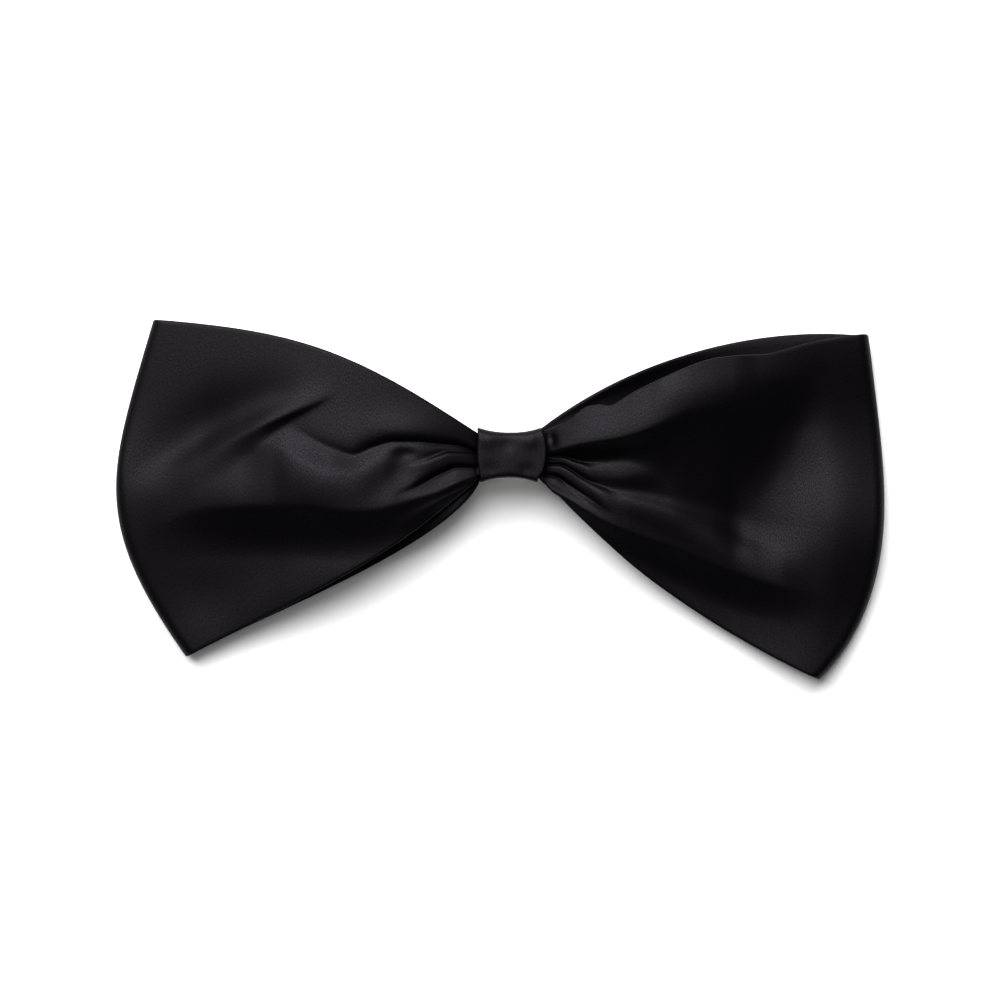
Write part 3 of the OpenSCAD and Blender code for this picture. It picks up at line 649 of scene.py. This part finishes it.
# ---------------------------------------------------------------- threads and springs
WIRE_SIDES = 10
STITCH_R, STITCH_PITCH = 0.17, 1.8
STITCH_LENGTH, STITCH_SLANT = 1.5, 0.7
STITCH_OUT, STITCH_DIP = 0.10, 0.42   # how far it stands off the cloth, and dips at its ends
PIVOT_X, PIVOT_Z = 12.0, 2.8
WIRE_R, COIL_R, COIL_PITCH, COIL_TURNS = 0.2, 1.12, 0.62, 4.5
COIL_HALF = COIL_PITCH * COIL_TURNS / 2
COIL_STEPS, LEG_STEPS, STITCH_STEPS = 28, 12, 14   # points a turn, a leg and a stitch
SPRING_LEG, LEG_BEND_X, LEG_BEND_OUT = 5.0, -2, 0.05
PLATE_LEG_Z, LEVER_LEG_Z = 1.47, -1.37   # where the legs bear, above and below the pin


def wire_rings(path, radius):
    """Rings of a round wire along a path, with no twist."""
    path = np.asarray(path, float)
    along = unit(np.gradient(path, axis=0))
    out = unit(np.cross(along[0], [0.31, 0.87, 0.22]))
    rings = []
    for point, t in zip(path, along):
        out = unit(out - t * (out @ t))
        third = np.cross(t, out)
        turn = 2 * math.pi * np.arange(WIRE_SIDES) / WIRE_SIDES
        rings.append(point + radius * (np.cos(turn)[:, None] * out + np.sin(turn)[:, None] * third))
    return np.array(rings)


def wires(name, paths, radius):
    """One mesh of several round wires."""
    points, faces = [], []
    for path in paths:
        rings = wire_rings(path, radius)
        faces += [
            tuple(v + len(points) for v in face) for face in tube_faces(len(rings), WIRE_SIDES)
        ]
        points += rings.reshape(-1, 3).tolist()
    return mesh_object(name, points, [face[::-1] for face in faces])


def stitch_path(x):
    """A slanting slip stitch over the lapped end, dipping into the cloth at both ends."""
    u = np.linspace(0, 1, STITCH_STEPS)
    z = KNOT[2] - KNOT_D / 2 - STITCH_OUT + STITCH_DIP * np.abs(2 * u - 1) ** 3
    y = KNOT[1] - STITCH_LENGTH / 2 + STITCH_LENGTH * u
    return np.stack([x - STITCH_SLANT / 2 + STITCH_SLANT * u, y, z], -1)


def spring_path(side):
    """Spring wire round a pin: in along the plate, round the coil, and out along the lever."""
    u = np.linspace(0, 1, LEG_STEPS)[:, None]
    start, bend, end = (1 - u) ** 2, 2 * (1 - u) * u, u ** 2
    bend_z = COIL_R + LEG_BEND_OUT
    first = (start * [-SPRING_LEG, -COIL_HALF, PLATE_LEG_Z]
             + bend * [LEG_BEND_X, -COIL_HALF, bend_z]
             + end * [0, -COIL_HALF, COIL_R])
    last = (start * [0, COIL_HALF, -COIL_R]
            + bend * [LEG_BEND_X, COIL_HALF, -bend_z]
            + end * [-SPRING_LEG, COIL_HALF, LEVER_LEG_Z])
    turn = np.linspace(0, 1, int(COIL_STEPS * COIL_TURNS))
    a = math.pi / 2 - 2 * math.pi * COIL_TURNS * turn
    along = mix(-COIL_HALF, COIL_HALF, turn)
    coil = np.stack([COIL_R * np.cos(a), along, COIL_R * np.sin(a)], -1)
    path = np.concatenate([first[:-1], coil, last[1:]])
    path[:, 0] = KNOT[0] + side * (PIVOT_X + path[:, 0])
    return path + [0, KNOT[1], PIVOT_Z]


# ---------------------------------------------------------------- materials
def shader(name):
    """A new material, its node tree and its Principled shader."""
    mat = bpy.data.materials.new(name)
    mat.use_nodes = True
    nt = mat.node_tree
    return mat, nt, nt.nodes["Principled BSDF"]


NOISE_LOW, NOISE_HIGH = 0.3, 0.7   # the range that most of a noise falls in
ROUGH_SHARE = 0.4                  # how much of a finish's variation goes into roughness


def detailed(name, color, rough, metal=0.0, level=0.5, grain=2500.0, stretch=(1, 1, 1), vary=0.2,
             depth=0.01, cloth=False):
    """A procedural finish: grain that varies colour, roughness, shine and height.

    Depth is in millimetres. A cloth's grain follows its length and width."""
    mat, nt, bsdf = shader(name)
    link = nt.links.new
    if cloth:
        place = nt.nodes.new("ShaderNodeUVMap")
        place.uv_map = "cloth"
        source = place.outputs["UV"]
    else:
        source = nt.nodes.new("ShaderNodeTexCoord").outputs["Object"]
    mapping = nt.nodes.new("ShaderNodeMapping")
    mapping.inputs["Scale"].default_value = stretch
    link(source, mapping.inputs["Vector"])
    noise = nt.nodes.new("ShaderNodeTexNoise")
    noise.inputs["Scale"].default_value = grain
    noise.inputs["Detail"].default_value = 3.0
    link(mapping.outputs["Vector"], noise.inputs["Vector"])

    def spread(low, high):
        node = nt.nodes.new("ShaderNodeMapRange")
        ends = (NOISE_LOW, NOISE_HIGH, low, high)
        for key, value in zip(("From Min", "From Max", "To Min", "To Max"), ends):
            node.inputs[key].default_value = value
        link(noise.outputs["Fac"], node.inputs["Value"])
        return node.outputs["Result"]

    tint = nt.nodes.new("ShaderNodeMix")
    tint.data_type = "RGBA"
    tint.inputs["A"].default_value = (*(c * (1 - vary) for c in color), 1)
    tint.inputs["B"].default_value = (*(c * (1 + vary) for c in color), 1)
    link(spread(0, 1), tint.inputs["Factor"])
    link(tint.outputs["Result"], bsdf.inputs["Base Color"])
    polish = ROUGH_SHARE * vary
    link(spread(rough * (1 + polish), rough * (1 - polish)), bsdf.inputs["Roughness"])
    link(spread(level * (1 - vary), level * (1 + vary)), bsdf.inputs["Specular IOR Level"])
    bsdf.inputs["Metallic"].default_value = metal
    bump = nt.nodes.new("ShaderNodeBump")
    bump.inputs["Distance"].default_value = depth * MM
    link(noise.outputs["Fac"], bump.inputs["Height"])
    link(bump.outputs["Normal"], bsdf.inputs["Normal"])
    return mat


def plain(name, color, rough):
    """A finish of one colour."""
    mat, _, bsdf = shader(name)
    bsdf.inputs["Base Color"].default_value = (*color, 1)
    bsdf.inputs["Roughness"].default_value = rough
    return mat


def dress(ob, mat):
    """ob takes one finish."""
    ob.data.materials.clear()
    ob.data.materials.append(mat)


SATIN_TINT = (1.0, 0.945, 1.03, 1)
satin_mat = detailed("black_satin", (0.0026, 0.0019, 0.0031), 0.52, level=0.215, grain=4200.0,
                     stretch=(1, 0.5, 1), vary=0.3, depth=0.009, cloth=True)
satin_mat.node_tree.nodes["Principled BSDF"].inputs["Specular Tint"].default_value = SATIN_TINT
lining_mat = detailed("interlining", (0.03, 0.03, 0.03), 0.9, level=0.2, grain=2500.0,
                      stretch=(1, 0.2, 1), vary=0.4, depth=0.03, cloth=True)
FINISHES = {
    "thread": detailed("thread", (0.006, 0.006, 0.007), 0.6, grain=5000.0, stretch=(1, 0.3, 1),
                       vary=0.4, depth=0.03),
    "nickel": detailed("nickel", (0.66, 0.65, 0.62), 0.30, 1.0, grain=5200.0,
                       stretch=(0.06, 1, 1), vary=0.12, depth=0.0015),
    "pin": detailed("pin_steel", (0.60, 0.60, 0.60), 0.24, 1.0, grain=5200.0,
                    stretch=(1, 0.06, 1), vary=0.12, depth=0.0015),
    "spring": detailed("spring_steel", (0.42, 0.42, 0.43), 0.32, 1.0, grain=3000.0, vary=0.15,
                       depth=0.002),
    "pad": detailed("rubber", (0.022, 0.022, 0.023), 0.72, grain=3200.0, vary=0.25, depth=0.012),
}
NODE_FINISH = {
    "gather_thread": "thread",
    "left_clip_stitches": "thread",
    "right_clip_stitches": "thread",
    "clip_base": "nickel",
    "left_lever": "nickel",
    "right_lever": "nickel",
    "left_pivot_pin": "pin",
    "right_pivot_pin": "pin",
    "left_grip_pad": "pad",
    "right_grip_pad": "pad",
}


def stand_in(ob, mat, slot, *nodes):
    """ob takes a finish and shows instead of some of the bow's CAD nodes."""
    dress(ob, mat)
    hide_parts(*nodes)


for name, finish in NODE_FINISH.items():
    dress(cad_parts[name], FINISHES[finish])

rows = band_rows()
down = outer_normals(blurred(rows, SMOOTH_ALONG, SMOOTH_OVER))
lining = lining_mesh(rows, down)
stand_in(lining, lining_mat, "interlining", "band_interlining")
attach(lining, "bow")
band = band_mesh(rows, down)
stand_in(band, satin_mat, "satin", "bow_band")
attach(band, "bow")
knot_lining = knot_lining_mesh()
stand_in(knot_lining, lining_mat, "interlining", "knot_interlining")
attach(knot_lining, "bow")
knot = knot_mesh()
stand_in(knot, satin_mat, "satin", "knot_band")
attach(knot, "bow")
stitch_paths = [stitch_path(KNOT[0] + STITCH_PITCH * i) for i in range(-2, 3)]
stitches = wires("lap_stitches", stitch_paths, STITCH_R)
stand_in(stitches, FINISHES["thread"], "thread", "knot_stitches")
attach(stitches, "bow")
for side, word in ((LEFT, "left"), (RIGHT, "right")):
    spring = wires(word + "_coil", [spring_path(side)], WIRE_R)
    stand_in(spring, FINISHES["spring"], "spring_steel", word + "_spring")
    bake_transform(spring)


# ---------------------------------------------------------------- floor, light and camera
FLOOR_HALF, FLOOR_DROP = 3.0, 0.00005   # metres
FLOOR_WHITE, FLOOR_ROUGH = (0.86, 0.86, 0.86), 0.9
# Each light's place in metres, its power in watts and its width in metres
LIGHTS = {
    "key": ((-0.42, 1.20, 1.45), 78, 2.3),
    "overhead": ((0.0, 0.0, 2.2), 8, 1.2),
}
CAMERA_HEIGHT, CAMERA_VIEW, SENSOR = 1.2, 0.240, 36   # metres, metres across, millimetres
WORLD_STRENGTH = 0.08


def floor():
    """A white table top, just under the bow."""
    h = FLOOR_HALF
    me = bpy.data.meshes.new("table_top")
    me.from_pydata([(-h, -h, 0), (h, -h, 0), (h, h, 0), (-h, h, 0)], [], [(0, 1, 2, 3)])
    ob = bpy.data.objects.new("table_top", me)
    bpy.context.scene.collection.objects.link(ob)
    ob.location.z = cad_box[0][2] - FLOOR_DROP
    dress(ob, plain("white_table", FLOOR_WHITE, FLOOR_ROUGH))


def area_light(name, place, power, size):
    """A round soft light, aimed at the middle of the frame."""
    data = bpy.data.lights.new(name, "AREA")
    data.shape = "DISK"
    data.size = size
    data.energy = power
    ob = bpy.data.objects.new(name, data)
    ob.location = place
    ob.rotation_euler = (Vector((0, 0, 0)) - Vector(place)).to_track_quat("-Z", "Y").to_euler()
    bpy.context.scene.collection.objects.link(ob)


def camera():
    """A camera straight above, far enough for the bow to look flat."""
    data = bpy.data.cameras.new("camera")
    data.sensor_width = SENSOR
    data.lens = SENSOR * CAMERA_HEIGHT / CAMERA_VIEW
    data.clip_start = 0.01
    ob = bpy.data.objects.new("camera", data)
    ob.location = (0, 0, CAMERA_HEIGHT)
    bpy.context.scene.collection.objects.link(ob)
    bpy.context.scene.camera = ob


def studio():
    """A dim white surround."""
    world = bpy.data.worlds.new("studio")
    world.use_nodes = True
    background = world.node_tree.nodes["Background"]
    background.inputs["Color"].default_value = (1, 1, 1, 1)
    background.inputs["Strength"].default_value = WORLD_STRENGTH
    bpy.context.scene.world = world


floor()
for name, (place, power, size) in LIGHTS.items():
    area_light(name, place, power, size)
camera()
studio()
bpy.context.scene.view_settings.view_transform = "Standard"
bpy.context.scene.view_settings.look = "High Contrast"
